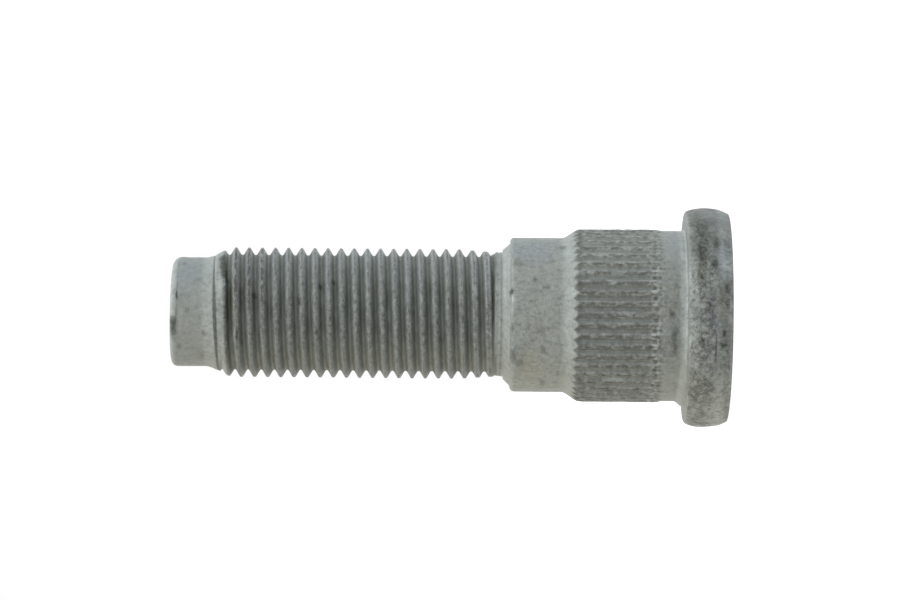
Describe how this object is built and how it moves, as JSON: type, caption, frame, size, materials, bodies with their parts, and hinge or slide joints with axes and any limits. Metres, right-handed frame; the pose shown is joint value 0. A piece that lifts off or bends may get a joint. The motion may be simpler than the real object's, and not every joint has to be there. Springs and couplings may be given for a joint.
{
  "type": "press-in wheel stud",
  "caption": "Press-in wheel stud with a round head, a knurled shank that grips a hub flange, a right-hand thread and a plain dog point.",
  "frame": {"origin": "centre of the head's outer face", "axes": "+Z along the stud's axis, from the head towards the dog point"},
  "size_m": [0.0212, 0.0212, 0.0538],
  "materials": {
    "coated_steel": "matte grey mechanical zinc coating, speckled, with dark thread roots"
  },
  "bodies": {
    "root": {"wheel_stud": "coated_steel"}
  },
  "joints": []
}
